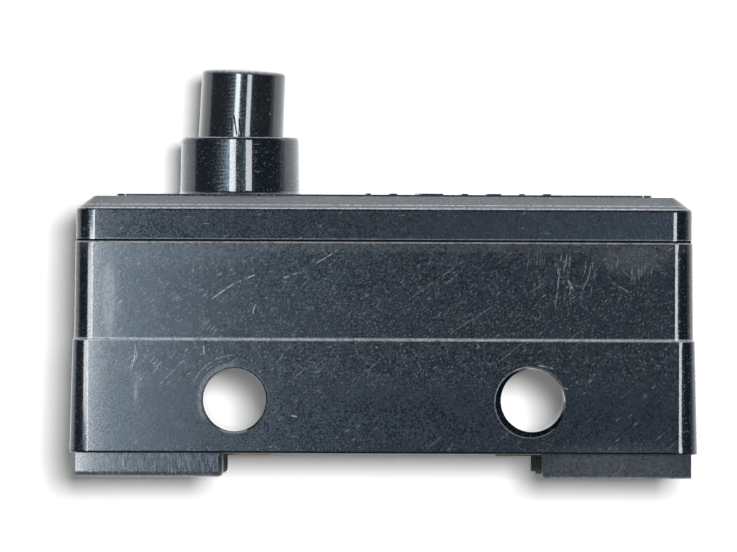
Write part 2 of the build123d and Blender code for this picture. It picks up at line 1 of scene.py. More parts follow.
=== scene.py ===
"""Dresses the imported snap-action pushbutton switch: finishes, wear, small pieces and studio.

The frame's solids stay where they are. Lengths in the dataclasses are millimetres and are turned
into metres when a mesh, a lamp or a pattern is made.
"""

import logging
import math
from collections.abc import Iterable, Sequence
from dataclasses import dataclass
from enum import Enum
from typing import Any

import bmesh
import bpy
from mathutils import Matrix, Vector, noise


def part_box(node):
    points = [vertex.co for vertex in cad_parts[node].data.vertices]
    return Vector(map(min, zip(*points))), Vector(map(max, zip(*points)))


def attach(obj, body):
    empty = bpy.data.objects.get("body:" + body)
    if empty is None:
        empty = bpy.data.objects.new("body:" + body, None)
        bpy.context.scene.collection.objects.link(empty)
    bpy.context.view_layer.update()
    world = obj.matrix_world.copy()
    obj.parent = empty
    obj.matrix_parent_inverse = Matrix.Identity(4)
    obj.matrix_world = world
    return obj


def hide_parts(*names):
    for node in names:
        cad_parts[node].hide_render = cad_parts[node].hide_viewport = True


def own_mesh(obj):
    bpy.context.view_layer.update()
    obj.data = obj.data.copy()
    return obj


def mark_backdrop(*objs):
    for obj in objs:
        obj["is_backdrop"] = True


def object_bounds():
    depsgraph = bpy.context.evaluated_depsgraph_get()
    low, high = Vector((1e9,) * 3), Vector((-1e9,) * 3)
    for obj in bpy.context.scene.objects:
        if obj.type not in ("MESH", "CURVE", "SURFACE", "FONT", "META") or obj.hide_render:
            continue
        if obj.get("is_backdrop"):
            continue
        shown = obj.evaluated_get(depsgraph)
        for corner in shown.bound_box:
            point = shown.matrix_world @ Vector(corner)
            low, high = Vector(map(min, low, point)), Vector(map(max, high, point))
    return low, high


MM = 0.001
MERGE_REACH = 1e-5               # millimetres within which two vertices become one
SHARP_ANGLE = 35.0               # degrees between two faces from which their edge stays sharp

Pair = tuple[float, float]
Triple = tuple[float, float, float]

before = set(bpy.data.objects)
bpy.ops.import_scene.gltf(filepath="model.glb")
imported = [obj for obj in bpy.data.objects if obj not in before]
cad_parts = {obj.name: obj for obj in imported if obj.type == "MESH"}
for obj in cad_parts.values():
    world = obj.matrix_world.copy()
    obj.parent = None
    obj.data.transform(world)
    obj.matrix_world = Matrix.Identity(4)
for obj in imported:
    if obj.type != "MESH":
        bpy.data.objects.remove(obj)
LOG = logging.getLogger("switch")


class Body(Enum):
    """What a piece moves with."""

    CASE = "case"
    PIN = "pin"


class Stock(Enum):
    """The record's material slot that a new piece takes its finish from."""

    CASE_BLACK = "case_black"
    COVER_BLACK = "cover_black"
    SPRING_STEEL = "spring_steel"


# ---- Shader expressions -----------------------------------------------------

class Wire:
    """One output socket of a node tree, with Python's arithmetic on its values."""

    def __init__(self, graph: "Graph", socket: bpy.types.NodeSocket) -> None:
        """Wraps a socket of the graph's tree."""
        self.graph = graph
        self.socket = socket

    def other(self, name: str) -> "Wire":
        """Another output of the same node."""
        return Wire(self.graph, self.socket.node.outputs[name])

    def _math(self, operation: str, first: "Term", second: "Term" = 0.0) -> "Wire":
        """Adds one Math node to the tree."""
        return self.graph.node("ShaderNodeMath", {"operation": operation}, {0: first, 1: second})

    def __add__(self, term: "Term") -> "Wire":
        """self + term"""
        return self._math("ADD", self, term)

    def __sub__(self, term: "Term") -> "Wire":
        """self - term"""
        return self._math("SUBTRACT", self, term)

    def __rsub__(self, term: float) -> "Wire":
        """term - self"""
        return self._math("SUBTRACT", term, self)

    def __mul__(self, term: "Term") -> "Wire":
        """self * term"""
        return self._math("MULTIPLY", self, term)

    def __gt__(self, term: "Term") -> "Wire":
        """1 where self is over term, else 0."""
        return self._math("GREATER_THAN", self, term)

    def __lt__(self, term: "Term") -> "Wire":
        """1 where self is under term, else 0."""
        return self._math("LESS_THAN", self, term)

    def __abs__(self) -> "Wire":
        """The size of self without its sign."""
        return self._math("ABSOLUTE", self)

    def at_most(self, term: "Term") -> "Wire":
        """The smaller of self and term."""
        return self._math("MINIMUM", self, term)

    def at_least(self, term: "Term") -> "Wire":
        """The larger of self and term."""
        return self._math("MAXIMUM", self, term)

    def eased(self, low: float, high: float) -> "Wire":
        """Runs smoothly from 0 at low to 1 at high, which may be the smaller one.

        Args:
            low: the value that gives 0.
            high: the value that gives 1.

        Returns:
            The eased value.
        """
        first, last = min(low, high), max(low, high)
        rising = self.graph.node("ShaderNodeMapRange", {"interpolation_type": "SMOOTHSTEP"},
                                 {"Value": self, 1: first, 2: last})
        return rising if low < high else 1.0 - rising


Term = Wire | float
Link = Wire | float | Sequence[float]


class Graph:
    """A node tree under construction, with one way of making nodes."""

    def __init__(self, tree: bpy.types.NodeTree) -> None:
        """Empties the tree and keeps it."""
        self.tree = tree
        self.split: dict[str, Wire] = {}   # parts of a point made already, by its node's name
        tree.nodes.clear()

    def node(self, kind: str, settings: dict[str, Any] | None = None,
             inputs: dict[str | int, Link] | None = None) -> Wire:
        """Makes one node.

        Args:
            kind: the node's type.
            settings: the node's own properties, set before its sockets.
            inputs: values or links by the socket's name or number.

        Returns:
            The node's first output that is in use.
        """
        made = self.tree.nodes.new(kind)
        for name, value in (settings or {}).items():
            setattr(made, name, value)
        for key, value in (inputs or {}).items():
            if isinstance(value, Wire):
                self.tree.links.new(value.socket, made.inputs[key])
            else:
                made.inputs[key].default_value = self._fitted(made.inputs[key], value)
        outputs = [socket for socket in made.outputs if socket.enabled]
        return Wire(self, outputs[0]) if outputs else Wire(self, made.inputs[0])

    @staticmethod
    def _fitted(socket: bpy.types.NodeSocket,
                value: float | Sequence[float]) -> float | Sequence[float]:
        """The value as the socket takes it: a colour gets its alpha of 1."""
        return (*value[:3], 1.0) if socket.type == "RGBA" else value

    def place(self) -> Wire:
        """The point on the piece, in millimetres of the switch's own frame."""
        where = self.node("ShaderNodeTexCoord").other("Object")
        return self.vector("MULTIPLY", where, (1 / MM,) * 3)

    def vector(self, operation: str, first: Link, second: Link = (0.0, 0.0, 0.0)) -> Wire:
        """Vector maths; a length, a distance or a dot product comes as a number."""
        return self.node("ShaderNodeVectorMath", {"operation": operation}, {0: first, 1: second})

    def axis(self, point: Wire, name: str) -> Wire:
        """One coordinate of a point: X, Y or Z."""
        key = point.socket.node.name
        if key not in self.split:
            self.split[key] = self.node("ShaderNodeSeparateXYZ", None, {0: point})
        return self.split[key].other(name)

    def front(self, point: Wire) -> Wire:
        """1 on the front half of the switch."""
        key = point.socket.node.name + " front"
        if key not in self.split:
            self.split[key] = self.axis(point, "Y") < 0.0
        return self.split[key]

    def mix(self, share: Link, first: Link, second: Link) -> Wire:
        """Colour first where share is 0, colour second where it is 1."""
        colour_factor, colour_first, colour_second = 0, 6, 7
        return self.node("ShaderNodeMix", {"data_type": "RGBA"},
                         {colour_factor: share, colour_first: first, colour_second: second})

    def noise(self, point: Wire, size: float, detail: float = 2.0, rough: float = 0.5) -> Wire:
        """Cloudy noise from 0 to 1 whose lumps are about size millimetres across."""
        return self.node("ShaderNodeTexNoise", None,
                         {"Vector": point, "Scale": 1 / size, "Detail": detail, "Roughness": rough})

    def cells(self, point: Wire, size: float) -> Wire:
        """Distance from the nearest scattered point, in sizes; Color is random per point."""
        return self.node("ShaderNodeTexVoronoi", None, {"Vector": point, "Scale": 1 / size})

    def turned(self, point: Wire, degrees: float, stretch: Sequence[float]) -> Wire:
        """The point turned about the front-to-back axis, then shrunk along each axis."""
        upright = self.node("ShaderNodeMapping", {"vector_type": "POINT"},
                            {"Vector": point, "Rotation": (0.0, math.radians(degrees), 0.0)})
        return self.vector("DIVIDE", upright, tuple(stretch))

    def laid(self, point: Wire, rise: float, cell: Pair) -> Wire:
        """Points scattered in a flat pattern on the front and the back.

        Args:
            point: the point on the piece.
            rise: degrees by which the cells' long way rises along the case.
            cell: a cell's length and width.

        Returns:
            The distance from the nearest of them, in cells; Color is random per point.
        """
        sine, cosine = math.sin(math.radians(rise)), math.cos(math.radians(rise))
        long = (cosine / cell[0], 0.0, sine / cell[0])
        short = (-sine / cell[1], 0.0, cosine / cell[1])
        flat = self.node("ShaderNodeCombineXYZ", None,
                         {0: self.vector("DOT_PRODUCT", point, long),
                          1: self.vector("DOT_PRODUCT", point, short)})
        return self.node("ShaderNodeTexVoronoi", {"voronoi_dimensions": "2D"},
                         {"Vector": flat, "Scale": 1.0})


# ---- Wear marks -------------------------------------------------------------

@dataclass(frozen=True)
class Scratches:
    """A crop of fine straight scratches that all run one way across the case."""

    rise: float                  # degrees above the case's long axis
    length: float
    width: float
    share: float                 # of the cells that hold one
    seed: float = 0.0            # millimetres that the crop is moved by
    strength: float = 1.0
    laid: bool = False           # flat on the front, where the crop is dense
    reach: float = 0.3           # half a scratch's length or width, as a share of its cell
    depth: float = 3.0           # a cell's size from front to back

    def mask(self, graph: Graph, point: Wire) -> Wire:
        """The strength on a scratch, 0 between them."""
        cell = (self.length / (2 * self.reach), self.width / (2 * self.reach))
        moved = graph.vector("ADD", point, (self.seed, 0.0, self.seed))
        if self.laid:
            near = graph.laid(moved, self.rise, cell)
        else:
            near = graph.cells(graph.turned(moved, self.rise, (cell[0], self.depth, cell[1])), 1.0)
        chosen = graph.axis(near.other("Color"), "X") < self.share
        return near.eased(self.reach, self.reach / 3) * chosen * self.strength


@dataclass(frozen=True)
class Patch:
    """A soft rubbed patch on the front face."""

    centre: Pair
    reach: Pair
    strength: float = 0.5

    def mask(self, graph: Graph, point: Wire) -> Wire:
        """The strength at the middle, fading to 0 at the patch's rim."""
        offset = graph.vector("SUBTRACT", point, (self.centre[0], 0.0, self.centre[1]))
        share = graph.vector("MULTIPLY", offset, (1 / self.reach[0], 0.0, 1 / self.reach[1]))
        soft = graph.vector("LENGTH", share).eased(1.0, 0.35) * self.strength
        return soft * graph.front(point)


@dataclass(frozen=True)
class Scuffs:
    """A crop of scratches or streaks that shows only in some patches."""

    crop: "Scratches | Streaks"
    patches: tuple[Patch, ...]

    def mask(self, graph: Graph, point: Wire) -> Wire:
        """The crop inside the patches."""
        return self.crop.mask(graph, point) * marked(graph, point, self.patches)


@dataclass(frozen=True)
class Stroke:
    """One scratch on the front face, straight, from start to end in X and Z."""

    start: Pair
    end: Pair
    width: float = 0.08
    strength: float = 1.0

    def mask(self, graph: Graph, point: Wire) -> Wire:
        """The strength on the stroke's line, fading to 0 at half its width."""
        run = Vector((self.end[0] - self.start[0], 0.0, self.end[1] - self.start[1]))
        offset = graph.vector("SUBTRACT", point, (self.start[0], 0.0, self.start[1]))
        flat = graph.vector("MULTIPLY", offset, (1.0, 0.0, 1.0))
        along = graph.vector("DOT_PRODUCT", flat, tuple(run / run.length_squared))
        share = along.at_least(0.0).at_most(1.0)
        foot = graph.node("ShaderNodeVectorMath", {"operation": "SCALE"},
                          {0: tuple(run), "Scale": share})
        near = graph.vector("DISTANCE", flat, foot).eased(self.width / 2, self.width / 8)
        return near * graph.front(point) * self.strength


@dataclass(frozen=True)
class Ring:
    """A worn ring round a hole, whole or only towards one side of it."""

    centre: Pair
    radius: float
    width: float
    strength: float = 1.0
    towards: float = 0.0         # degrees from +X up to +Z
    spread: float = 180.0        # degrees to each side of that
    fade: float = 0.12           # of the spread's cosine, to each side of its limit

    def mask(self, graph: Graph, point: Wire) -> Wire:
        """The strength on the ring, fading to 0 at half its width and at its ends."""
        offset = graph.vector("SUBTRACT", point, (self.centre[0], 0.0, self.centre[1]))
        flat = graph.vector("MULTIPLY", offset, (1.0, 0.0, 1.0))
        away = graph.vector("LENGTH", flat)
        drawn = abs(away - self.radius).eased(self.width / 2, self.width / 8) * self.strength
        if self.spread >= 180.0:
            return drawn
        side = math.radians(self.towards)
        facing = graph.vector("DOT_PRODUCT", graph.vector("NORMALIZE", flat),
                              (math.cos(side), 0.0, math.sin(side)))
        limit = math.cos(math.radians(self.spread))
        near = facing.eased(limit - self.fade, limit + self.fade)
        return drawn * near * graph.front(point)


@dataclass(frozen=True)
class Level:
    """A line round the case at one height, used for wear, for painted edge highlights and for painted shade
    lines.
    """

    height: float                # at X = 0
    width: float
    strength: float = 1.0
    fall: float = 0.0            # per millimetre towards +X

    def mask(self, graph: Graph, point: Wire) -> Wire:
        """The strength at the height, fading to 0 at half the width."""
        away = abs(graph.vector("DOT_PRODUCT", point, (self.fall, 0.0, 1.0)) - self.height)
        return away.eased(self.width / 2, self.width / 6) * self.strength


@dataclass(frozen=True)
class Streaks:
    """Flow or tool lines in the skin between two heights."""

    low: float
    high: float
    grain: Triple
    strength: float = 0.5

    def mask(self, graph: Graph, point: Wire) -> Wire:
        """Streaks up to the strength, inside the band of heights only."""
        lines = graph.noise(graph.vector("DIVIDE", point, self.grain), 1.0, 2.0, 0.6)
        height = graph.axis(point, "Z")
        inside = (height > self.low, height < self.high)
        return lines.eased(0.42, 0.72) * inside[0] * inside[1] * self.strength


Mark = Scratches | Patch | Scuffs | Stroke | Ring | Level | Streaks


def marked(graph: Graph, point: Wire, marks: Iterable[Mark]) -> Wire:
    """The marks together as one mask.

    Args:
        graph: the material's tree.
        point: the point on the piece, in millimetres.
        marks: what is drawn.

    Returns:
        The strongest mark at each point.
    """
    total = graph.axis(point, "X") * 0.0
    for mark in marks:
        total = total.at_least(mark.mask(graph, point))
    return total


# ---- Finishes ---------------------------------------------------------------

@dataclass(frozen=True)
class Moulding:
    """Black moulded phenolic: a glossy skin, rubbed and scratched, with pale dust in it; its pale edge
    lines and crown band are partly painted highlight and sheen, and its clean dark lines are painted shade.
    """

    name: str
    colour: Triple = (0.006, 0.0105, 0.0165)
    # rubbed stock, also the colour of painted sheen bands
    rubbed_and_sheen: Triple = (0.17, 0.18, 0.195)
    # pale bare stock, also the colour of painted edge highlights
    bare_and_highlight: Triple = (0.40, 0.41, 0.44)
    dust: Triple = (0.50, 0.51, 0.53)
    sheen: Triple = (0.62, 0.81, 1.0)
    roughness: float = 0.27
    coat: float = 1.0
    coat_roughness: float = 0.08
    grain: float = 0.011         # depth of the skin's fine grain
    grain_size: float = 0.14
    mottle: float = 0.7          # spread of the roughness over the grain
    speckle: float = 1.0
    ribs: float = 0.0            # depth of the turning marks round an upright part
    ribs_from: float = 0.0       # the height that they start at
    rib_turn: float = 19.0       # radians of the ribs' sine per millimetre of height
    rib_wander: float = 13.0     # radians by which the clouds shift it
    warp: float = 0.0            # slope of the skin along X, as on a face that isn't quite flat
    cloud_size: float = 2.2      # of the slow changes in tone and gloss
    wave: float = 0.0012         # depth of the slow waves in a moulded face
    wave_size: float = 1.7
    score_depth: float = 0.002
    gouge_depth: float = 0.03
    dust_height: float = 0.003
    scored: tuple[Mark, ...] = ()
    worn_and_sheen: tuple[Mark, ...] = ()
    # bare chips, and painted highlights along edges
    chips_and_highlights: tuple[Mark, ...] = ()
    gouged: tuple[Mark, ...] = ()
    painted_shade_lines: tuple[Mark, ...] = ()   # painted shade: clean dark lines with no haze, where a shadow line falls
    bores: tuple[Triple, ...] = ()   # X, Z and radius of polished bores

    def make(self) -> bpy.types.Material:
        """Builds the material.

        Returns:
            The finished material.
        """
        material, graph = new_material(self.name)
        point = graph.place()
        grain = graph.noise(point, self.grain_size, 2.0, 0.6)
        cloud = graph.noise(point, self.cloud_size, 4.0, 0.6)
        broken = graph.noise(point, 0.5, 2.0, 0.8).eased(0.34, 0.56)
        ragged = graph.noise(point, 0.3, 3.0, 0.7).eased(0.3, 0.6)
        dust = self._dust(graph, point)
        scored = marked(graph, point, self.scored) * broken
        # wear, and painted sheen where a worn band stands for it
        worn_and_sheen = marked(graph, point, self.worn_and_sheen) * (ragged * 0.75 + 0.25)
        # bare chips and painted edge highlights
        chips_and_highlights = marked(graph, point, self.chips_and_highlights) * (ragged * 0.7 + 0.3)
        whole = 1.0 - marked(graph, point, self.gouged) if self.gouged else 1.0
        tone = graph.mix(grain.eased(0.36, 0.74),
                         dimmed(self.colour, 0.6), dimmed(self.colour, 1.7))
        for share, colour in ((cloud.eased(0.45, 0.8) * 0.3, dimmed(self.colour, 1.8)),
                              (scored * 0.75, self.bare_and_highlight), (worn_and_sheen, self.rubbed_and_sheen),
                              (chips_and_highlights, self.bare_and_highlight), (dust, self.dust)):
            tone = graph.mix(share, tone, colour)
        rough = ((grain - 0.5) * self.mottle + (cloud - 0.5) * 0.1 + self.roughness
                 + (scored + worn_and_sheen) * 0.1 + (1.0 - whole) * 0.6)
        height = (grain * self.grain + graph.noise(point, self.wave_size, 1.0) * self.wave
                  - scored * self.score_depth + dust * self.dust_height + whole * self.gouge_depth)
        skin = {"Base Color": tone, "Roughness": rough, "Coat Weight": whole * self.coat,
                "Normal": bump(graph, self._shaped(graph, point, height, cloud)),
                "Coat Roughness": self.coat_roughness, "Coat IOR": 1.5, "IOR": 1.5,
                "Specular Tint": self.sheen}
        # polished bores, and painted shade lines in the same clean dark shader
        if self.bores or self.painted_shade_lines:
            polished_or_painted_shade = self._in_bore(graph, point).at_least(marked(graph, point, self.painted_shade_lines))
            polished = {"Base Color": dimmed(self.colour, 0.5), "Roughness": 0.04, "IOR": 1.5}
            surface = graph.node("ShaderNodeMixShader", None, {
                0: polished_or_painted_shade, 1: graph.node("ShaderNodeBsdfPrincipled", None, skin),
                2: graph.node("ShaderNodeBsdfPrincipled", None, polished)})
            graph.node("ShaderNodeOutputMaterial", None, {"Surface": surface})
        else:
            finish(graph, skin)
        return material

    def _shaped(self, graph: Graph, point: Wire, height: Wire, cloud: Wire) -> Wire:
        """The skin's height with the turning marks and the warp, where there are any."""
        if self.ribs:
            up = graph.axis(point, "Z")
            phase = up * self.rib_turn + cloud * self.rib_wander
            turning = graph.node("ShaderNodeMath", {"operation": "SINE"}, {0: phase})
            height = height + turning * self.ribs * (up > self.ribs_from)
        if self.warp:
            height = height + graph.axis(point, "X") * self.warp
        return height

    def _dust(self, graph: Graph, point: Wire) -> Wire:
        """Pale specks: a haze of very fine ones and a few larger."""
        fine = graph.cells(graph.turned(point, 42.0, (0.3, 0.24, 0.13)), 1.0)
        haze = fine.eased(0.45, 0.15) * graph.axis(fine.other("Color"), "Y").eased(0.6, 1.0)
        large = graph.cells(point, 0.55)
        spots = large.eased(0.1, 0.05) * graph.axis(large.other("Color"), "Y").eased(0.7, 1.0)
        return (haze * 0.26 + spots).at_most(1.0) * self.speckle

    def _in_bore(self, graph: Graph, point: Wire) -> Wire:
        """1 inside the polished bores."""
        flat = graph.vector("MULTIPLY", point, (1.0, 0.0, 1.0))
        inside = graph.axis(point, "X") * 0.0
        for across, up, radius in self.bores:
            inside = inside.at_least(graph.vector("DISTANCE", flat, (across, 0.0, up)) < radius)
        return inside


@dataclass(frozen=True)
class Metal:
    """Rolled, drawn or plated metal, with streaks along the case and a few stains."""

    name: str
    colour: Triple
    stain: Triple
    roughness: float = 0.3
    streak: Triple = (1.6, 0.05, 0.3)
    relief: float = 0.002        # depth of the streaks and the stains
    edge: float = 9.0            # from the middle plane out to sheared edges, which are dull

    def make(self) -> bpy.types.Material:
        """Builds the material."""
        material, graph = new_material(self.name)
        point = graph.place()
        streaks = graph.noise(graph.vector("DIVIDE", point, self.streak), 1.0, 3.0, 0.6)
        patches = graph.noise(point, 1.3, 4.0, 0.6)
        tone = graph.mix(patches.eased(0.5, 0.78) * 0.6, self.colour, self.stain)
        tone = graph.mix(streaks.eased(0.35, 0.7) * 0.25, tone, dimmed(self.colour, 0.75))
        tone = graph.mix(abs(graph.axis(point, "Y")) > self.edge, tone, dimmed(self.stain, 0.5))
        rough = (streaks - 0.5) * 0.2 + (patches - 0.5) * 0.15 + self.roughness
        height = streaks * self.relief + patches * self.relief
        finish(graph, {"Base Color": tone, "Metallic": 1.0, "Roughness": rough,
                       "Normal": bump(graph, height)})
        return material


@dataclass(frozen=True)
class Plastic:
    """Plain satin plastic for the small pieces inside."""

    name: str
    colour: Triple
    roughness: float = 0.5
    relief: float = 0.003        # height of the fibres in the skin

    def make(self) -> bpy.types.Material:
        """Builds the material."""
        material, graph = new_material(self.name)
        point = graph.place()
        fibres = graph.noise(graph.vector("DIVIDE", point, (0.12, 0.12, 0.9)), 1.0, 3.0, 0.6)
        tone = graph.mix(fibres.eased(0.4, 0.75), self.colour, dimmed(self.colour, 0.7))
        finish(graph, {"Base Color": tone, "Roughness": (fibres - 0.5) * 0.2 + self.roughness,
                       "Normal": bump(graph, fibres * self.relief)})
        return material


@dataclass(frozen=True)
class SeamShadeStock:
    """Dull black stock with almost no gloss for what stands deep in a seam; its black is painted shade for
    the seam's dark gap.
    """

    name: str
    # painted shade: near-black, so the seam reads as a dark gap
    colour: Triple = (0.003, 0.0035, 0.004)
    relief: float = 0.02         # height of the lumps

    def make(self) -> bpy.types.Material:
        """Builds the material."""
        material, graph = new_material(self.name)
        lumps = graph.noise(graph.place(), 0.3, 3.0, 0.6)
        tone = graph.mix(lumps.eased(0.55, 0.8), self.colour, dimmed(self.colour, 6.0))
        finish(graph, {"Base Color": tone, "Roughness": lumps * 0.2 + 0.8,
                       "Normal": bump(graph, lumps * self.relief), "Specular IOR Level": 0.05})
        return material


def new_material(name: str) -> tuple[bpy.types.Material, Graph]:
    """Makes an empty material.

    Args:
        name: the material's name.

    Returns:
        The material and the graph of its tree.
    """
    material = bpy.data.materials.new(name)
    material.use_nodes = True
    return material, Graph(material.node_tree)


def bump(graph: Graph, height: Wire) -> Wire:
    """The normal of a skin with this height in millimetres."""
    return graph.node("ShaderNodeBump", None, {"Strength": 1.0, "Distance": MM, "Height": height})


def finish(graph: Graph, inputs: dict[str | int, Link]) -> None:
    """Ends a material in one Principled shader with these inputs."""
    shader = graph.node("ShaderNodeBsdfPrincipled", None, inputs)
    graph.node("ShaderNodeOutputMaterial", None, {"Surface": shader})


def dimmed(colour: Sequence[float], share: float) -> tuple[float, ...]:
    """The colour times share."""
    return tuple(part * share for part in colour)


# ---- Studio -----------------------------------------------------------------

@dataclass(frozen=True)
class Lamp:
    """A rectangular softbox aimed at the switch."""

    name: str
    place: Triple
    size: Pair
    level: float                 # radiance of the panel, where 1 is white
    colour: Triple = (1.0, 1.0, 1.0)
    lights_matt: bool = True
    shows_in_gloss: bool = True
    aim: Triple = (0.0, 0.0, 17.0)

    def make(self) -> None:
        """Puts the lamp in the scene."""
        data = bpy.data.lights.new(self.name, "AREA")
        data.shape = "RECTANGLE"
        data.size, data.size_y = (side * MM for side in self.size)
        data.energy = self.level * math.pi * data.size * data.size_y
        data.color = self.colour
        lamp = bpy.data.objects.new(self.name, data)
        lamp.location = Vector(self.place) * MM
        aim = (Vector(self.aim) - Vector(self.place)).normalized()
        lamp.rotation_euler = aim.to_track_quat("-Z", "Y").to_euler()
        lamp.visible_camera = False
        lamp.visible_diffuse = self.lights_matt
        lamp.visible_glossy = self.shows_in_gloss
        bpy.context.collection.objects.link(lamp)


@dataclass
class Studio:
    """The pale floor, the white card behind the switch, the lamps and the world."""

    card_gap: float = 0.4        # from the back of the switch to the card
    card_size: Pair = (180.0, 130.0)
    card_glow: float = 0.15      # light from the room that fills the switch's shadow
    floor_reach: float = 320.0
    floor_front: float = 0.3     # in front of the switch
    floor_fall: float = 1.385    # degrees down to the rear, edge-on from the camera's height
    floor_tone: float = 0.8
    floor_glow: float = 0.6
    room_behind: float = 0.65    # what gloss mirrors of the room behind the switch
    room_behind_fall: float = 0.32   # how much less of it there is towards +X
    room_front: float = 0.055    # what gloss mirrors of the room on the camera's side
    room_front_fall: float = 0.02
    room_turn: float = 0.09      # by how far the line between the two is turned
    room_matt: float = 0.03      # the room's light on matt skins
    lamps: tuple[Lamp, ...] = (
        Lamp("key", (95.0, -1000.0, 90.0), (160.0, 120.0), 152.0, shows_in_gloss=False),
        Lamp("left_strip", (-40.5, -120.0, 26.0), (25.0, 110.0), 15.0, (0.98, 0.97, 0.96),
             lights_matt=False),
        Lamp("left_window", (-73.0, -120.0, 15.5), (40.0, 12.0), 12.0, (1.0, 0.96, 0.93),
             lights_matt=False),
        Lamp("right_strip", (308.0, -1000.0, 55.0), (215.0, 130.0), 12.5, (0.98, 0.98, 1.0),
             lights_matt=False),
        Lamp("overhead", (0.0, 110.0, 420.0), (420.0, 300.0), 3.0, (1.0, 0.985, 0.96)),
        Lamp("top_fill", (0.0, 300.0, 600.0), (300.0, 300.0), 9.0, shows_in_gloss=False),
        Lamp("back_strip", (0.0, 300.0, 150.0), (200.0, 30.0), 4.0, lights_matt=False),
        Lamp("back_fill", (-420.0, 700.0, 220.0), (300.0, 220.0), 10.0),
        Lamp("under_fill", (0.0, 260.0, -420.0), (300.0, 200.0), 4.0),
    )

    def build(self) -> None:
        """Makes the stage, the lamps and the world."""
        low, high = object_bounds()
        front = Matrix.Translation((0.0, low.y, low.z))
        tipped = front @ Matrix.Rotation(-math.radians(self.floor_fall), 4, "X")
        reach = Matrix.Translation((0.0, (self.floor_reach / 2 - self.floor_front) * MM, 0.0))
        floor = self._sheet("floor", tipped @ reach, (self.floor_reach, self.floor_reach))
        floor.data.materials.append(self._floor_material())
        floor.visible_shadow = False
        behind = Matrix.Translation((0.0, high.y + self.card_gap * MM, (low.z + high.z) / 2))
        card = self._sheet("card", behind @ Matrix.Rotation(math.pi / 2, 4, "X"), self.card_size)
        card.data.materials.append(self._card_material())
        floor.visible_diffuse = False
        card.visible_shadow = card.visible_diffuse = card.visible_transmission = False
        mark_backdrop(floor, card)
        for lamp in self.lamps:
            lamp.make()
        self._world()

    def _sheet(self, name: str, place: Matrix, size: Pair) -> bpy.types.Object:
        """A flat rectangle, with its place in its mesh.

        Args:
            name: the object's name.
            place: where the sheet goes, and how it is turned from lying flat.
            size: its two sides.

        Returns:
            The sheet's object.
        """
        mesh = bpy.data.meshes.new(name)
        shape = bmesh.new()
        bmesh.ops.create_grid(shape, x_segments=1, y_segments=1, size=0.5)
        bmesh.ops.scale(shape, vec=(size[0] * MM, size[1] * MM, 1.0), verts=shape.verts)
        bmesh.ops.transform(shape, matrix=place, verts=shape.verts)
        shape.to_mesh(mesh)
        shape.free()
        sheet = bpy.data.objects.new(name, mesh)
        bpy.context.collection.objects.link(sheet)
        return sheet

    def _floor_material(self) -> bpy.types.Material:
        """White for the camera and in gloss, with its shadow kept; seen from above only."""
        material, graph = new_material("pale_floor")
        rays = graph.node("ShaderNodeLightPath")
        seen = rays.other("Is Camera Ray").at_least(rays.other("Is Glossy Ray"))
        seen = seen.at_least(rays.other("Is Transmission Ray"))
        matt = graph.node("ShaderNodeBsdfDiffuse", None, {"Color": (self.floor_tone,) * 3})
        glow = graph.node("ShaderNodeEmission", None, {"Strength": seen * self.floor_glow})
        self._one_sided(graph, graph.node("ShaderNodeAddShader", None, {0: matt, 1: glow}))
        return material

    def _card_material(self) -> bpy.types.Material:
        """White matt card that is seen from its front only."""
        material, graph = new_material("white_card")
        matt = graph.node("ShaderNodeBsdfDiffuse", None, {"Color": (1.0, 1.0, 1.0)})
        glow = graph.node("ShaderNodeEmission", None, {"Strength": self.card_glow})
        self._one_sided(graph, graph.node("ShaderNodeAddShader", None, {0: matt, 1: glow}))
        return material

    @staticmethod
    def _one_sided(graph: Graph, shader: Wire) -> None:
        """Ends a sheet's material in the shader on its front and in nothing on its back."""
        clear = graph.node("ShaderNodeBsdfTransparent")
        back = graph.node("ShaderNodeNewGeometry").other("Backfacing")
        shown = graph.node("ShaderNodeMixShader", None, {0: back, 1: shader, 2: clear})
        graph.node("ShaderNodeOutputMaterial", None, {"Surface": shown})

    def _world(self) -> None:
        """White for the camera; in gloss white behind the switch and dim on the camera's side."""
        world = bpy.data.worlds.new("studio")
        world.use_nodes = True
        bpy.context.scene.world = world
        graph = Graph(world.node_tree)
        way = graph.node("ShaderNodeTexCoord")
        across = graph.axis(way, "X")
        behind = (graph.axis(way, "Y") + across * self.room_turn).eased(-0.02, 0.06)
        rays = graph.node("ShaderNodeLightPath")
        mirrored = rays.other("Is Glossy Ray").at_least(rays.other("Is Transmission Ray"))
        room = (behind * (self.room_behind - across * self.room_behind_fall)
                + self.room_front - across * self.room_front_fall)
        matt = 1.0 - mirrored
        level = rays.other("Is Camera Ray").at_least(mirrored * room + matt * self.room_matt)
        light = graph.node("ShaderNodeBackground", None,
                           {"Color": (1.0, 1.0, 1.0), "Strength": level})
        graph.node("ShaderNodeOutputWorld", None, {"Surface": light})


@dataclass(frozen=True)
class Viewpoint:
    """A long lens square on to the front of the switch."""

    distance: float = 700.0      # from the front face
    view_width: float = 61.83    # seen across at the front face
    axis: Pair = (-1.3, 16.92)
    roll: float = 0.23           # degrees
    sensor: float = 36.0

    def build(self) -> None:
        """Makes the camera and gives it to the scene."""
        low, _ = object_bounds()
        data = bpy.data.cameras.new("camera")
        data.sensor_width = self.sensor
        data.lens = self.sensor * self.distance / self.view_width
        data.clip_start, data.clip_end = 0.05, 10.0
        camera = bpy.data.objects.new("camera", data)
        rolled = Matrix.Rotation(math.radians(self.roll), 4, "Z")
        stand = Vector((self.axis[0] * MM, low.y - self.distance * MM, self.axis[1] * MM))
        camera.matrix_world = (Matrix.Translation(stand)
                               @ (Matrix.Rotation(math.pi / 2, 4, "X") @ rolled))
        bpy.context.collection.objects.link(camera)
        bpy.context.scene.camera = camera
        bpy.context.scene.view_settings.view_transform = "Standard"


# ---- The switch -------------------------------------------------------------

def dress(material: bpy.types.Material, *nodes: str) -> None:
    """Gives CAD nodes' own objects a finish.

    Args:
        material: the finish.
        nodes: the names of the nodes.
    """
    for node in nodes:
        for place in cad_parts[node].material_slots:
            place.material = material
        LOG.info("dressed %s in %s", node, material.name)


